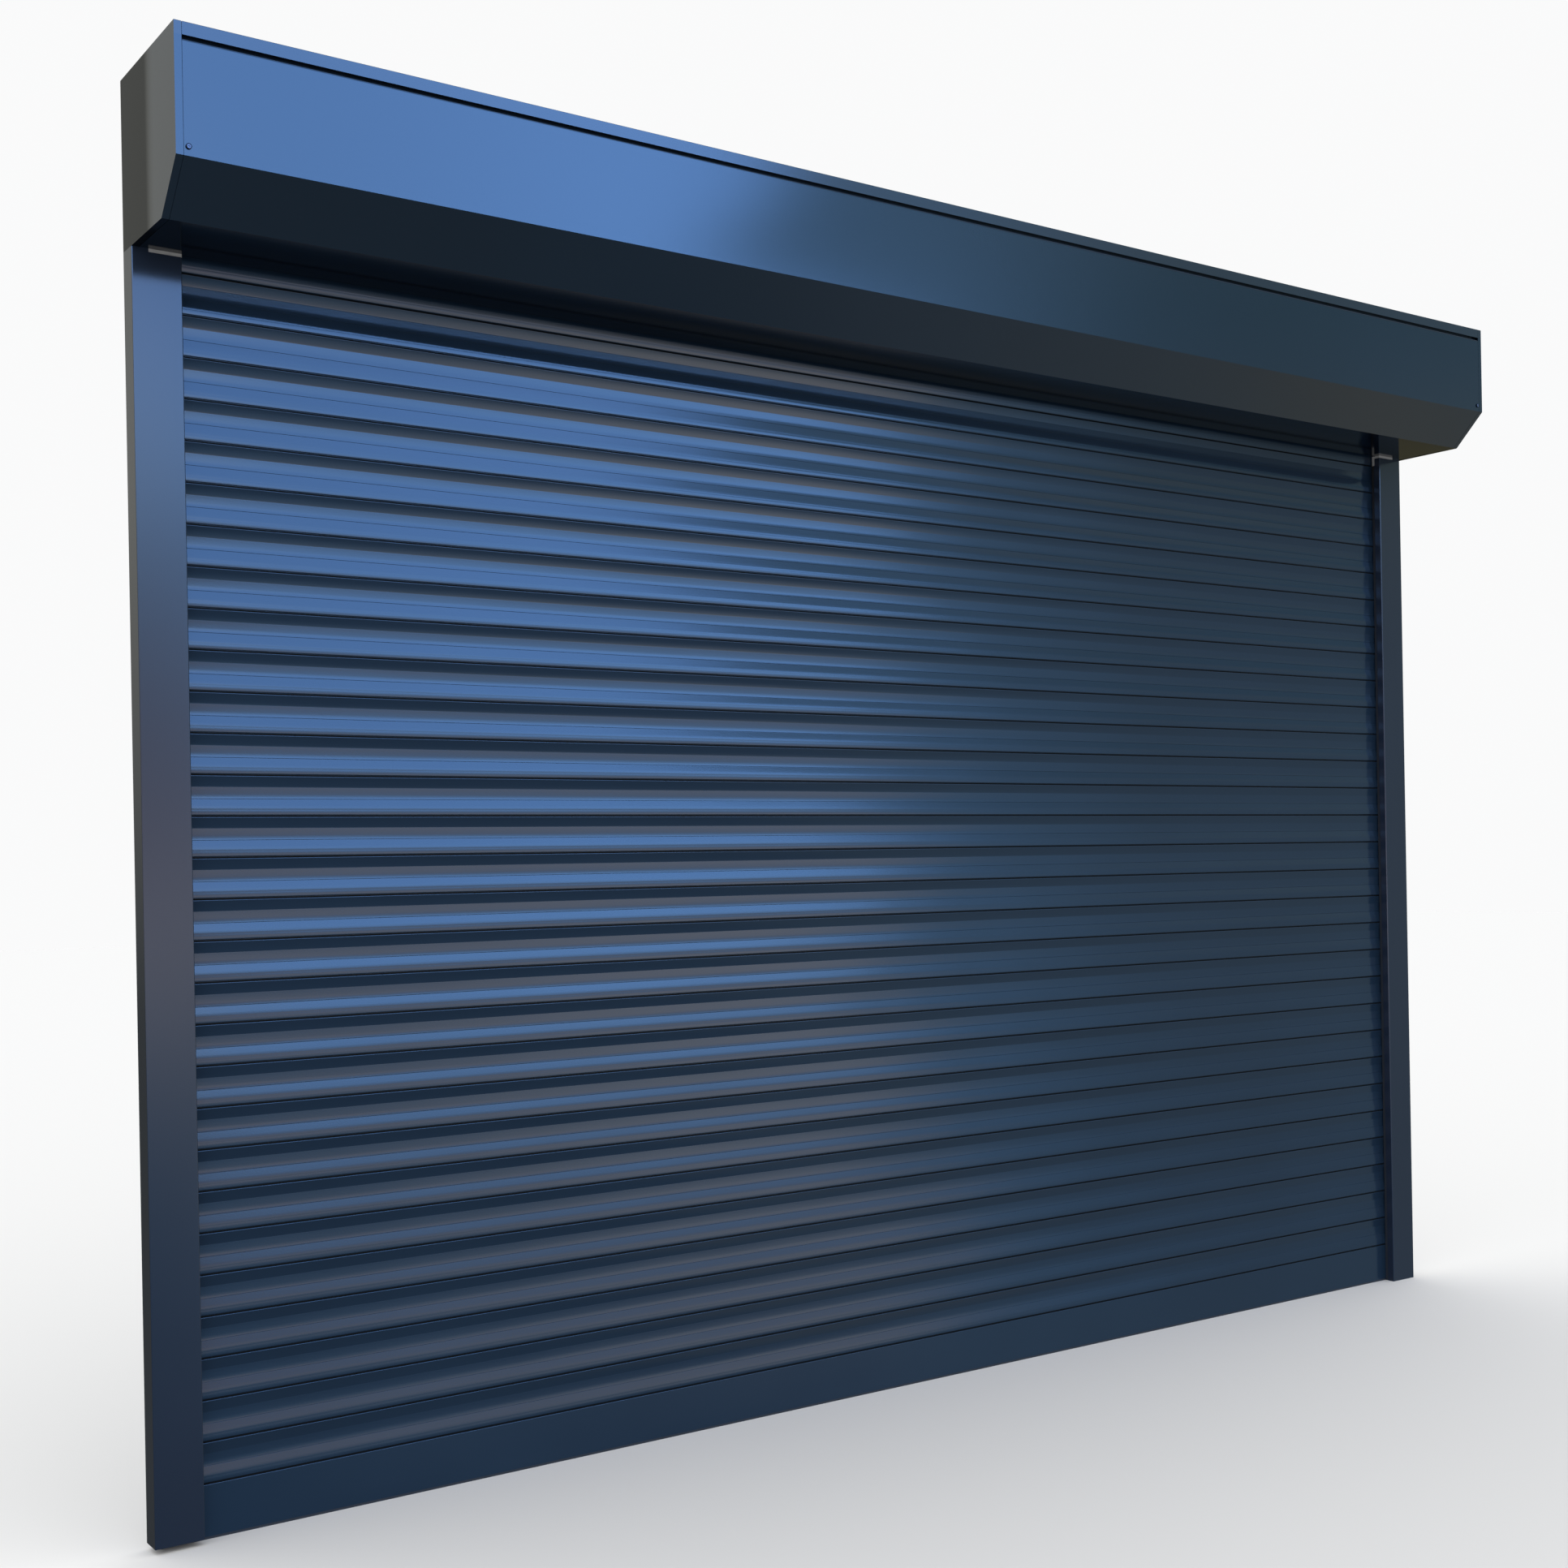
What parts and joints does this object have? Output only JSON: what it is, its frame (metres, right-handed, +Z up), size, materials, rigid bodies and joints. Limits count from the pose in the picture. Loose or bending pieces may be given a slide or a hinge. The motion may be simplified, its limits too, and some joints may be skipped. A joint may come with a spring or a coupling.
{
  "type": "roller shutter door",
  "caption": "Closed roller shutter door: hinged slats and a bottom bar in two guide rails, wound by a tube motor in a slope-fronted box.",
  "frame": {"origin": "on the wall plane, at floor level, in the middle of the clear opening between the rails", "axes": "+X to the right seen from the front, +Y towards the wall, +Z up"},
  "size_m": [3.6025, 0.3147, 2.6734],
  "materials": {
    "slat_coating": "satin",
    "rail_coating": "satin",
    "box_coating": "satin",
    "bare_aluminium": "satin",
    "light_grey_plastic": "matte",
    "black_plastic": "matte",
    "black_brush": "matte",
    "black_rubber": "matte",
    "galvanised_steel": "satin",
    "bearing_steel": "polished",
    "screw_steel": "satin",
    "spring_steel": "satin",
    "motor_white": "satin",
    "slat_foam": "matte"
  },
  "bodies": {
    "frame": {"left_guide_rail": "rail_coating", "right_guide_rail": "rail_coating", "rail_brush_strips": "black_brush", "rail_inlets": "light_grey_plastic", "rail_connectors": "bare_aluminium", "left_end_plate": "box_coating", "right_end_plate": "box_coating", "box_top_panel": "box_coating", "box_back_panel": "box_coating", "inspection_panel": "box_coating", "underside_panel": "box_coating", "panel_screws": "screw_steel", "motor_bracket": "galvanised_steel", "tube_motor": "motor_white", "idler_bracket": "galvanised_steel", "ball_bearing": "bearing_steel", "bracket_studs": "screw_steel", "cable_grommet": "black_rubber"},
    "curtain": {"slat_01": "slat_coating", "slat_02": "slat_coating", "slat_03": "slat_coating", "slat_04": "slat_coating", "slat_05": "slat_coating", "slat_06": "slat_coating", "slat_07": "slat_coating", "slat_08": "slat_coating", "slat_09": "slat_coating", "slat_10": "slat_coating", "slat_11": "slat_coating", "slat_12": "slat_coating", "slat_13": "slat_coating", "slat_14": "slat_coating", "slat_15": "slat_coating", "slat_16": "slat_coating", "slat_17": "slat_coating", "slat_18": "slat_coating", "slat_19": "slat_coating", "slat_20": "slat_coating", "slat_21": "slat_coating", "slat_22": "slat_coating", "slat_23": "slat_coating", "slat_24": "slat_coating", "slat_25": "slat_coating", "slat_26": "slat_coating", "slat_27": "slat_coating", "slat_28": "slat_coating", "slat_29": "slat_coating", "slat_foam_cores": "slat_foam", "slat_side_locks": "black_plastic", "bottom_bar": "slat_coating", "bottom_bar_end_caps": "black_plastic", "bottom_seal": "black_rubber"},
    "top_slat": {"slat_30": "slat_coating", "top_slat_foam": "slat_foam", "hanger_straps": "spring_steel"},
    "barrel": {"barrel_tube": "galvanised_steel", "hanger_rings": "black_plastic", "drive_wheel": "black_plastic", "motor_crown": "black_plastic", "idler_plug": "galvanised_steel"}
  },
  "joints": [
    {"name": "curtain_lift", "type": "slide", "parent": "frame", "child": "curtain", "axis": [0, 0, 1], "range_m": [0, 0.26], "deforming": ["hanger_straps"]},
    {"name": "barrel_spin", "type": "hinge", "parent": "frame", "child": "barrel", "pos_m": [0, -0.1577, 2.517], "axis": [1, 0, 0], "range_deg": [0, 332]},
    {"name": "top_slat_tilt", "type": "hinge", "parent": "curtain", "child": "top_slat", "pos_m": [0, -0.0177, 2.3387], "axis": [1, 0, 0], "range_deg": [0, 50.1]}
  ],
  "couplings": [
    {"joint": "barrel_spin", "follows": "curtain_lift", "rad_per_m": 22.222},
    {"joint": "top_slat_tilt", "follows": "curtain_lift", "rad_per_m": 3.3564}
  ]
}
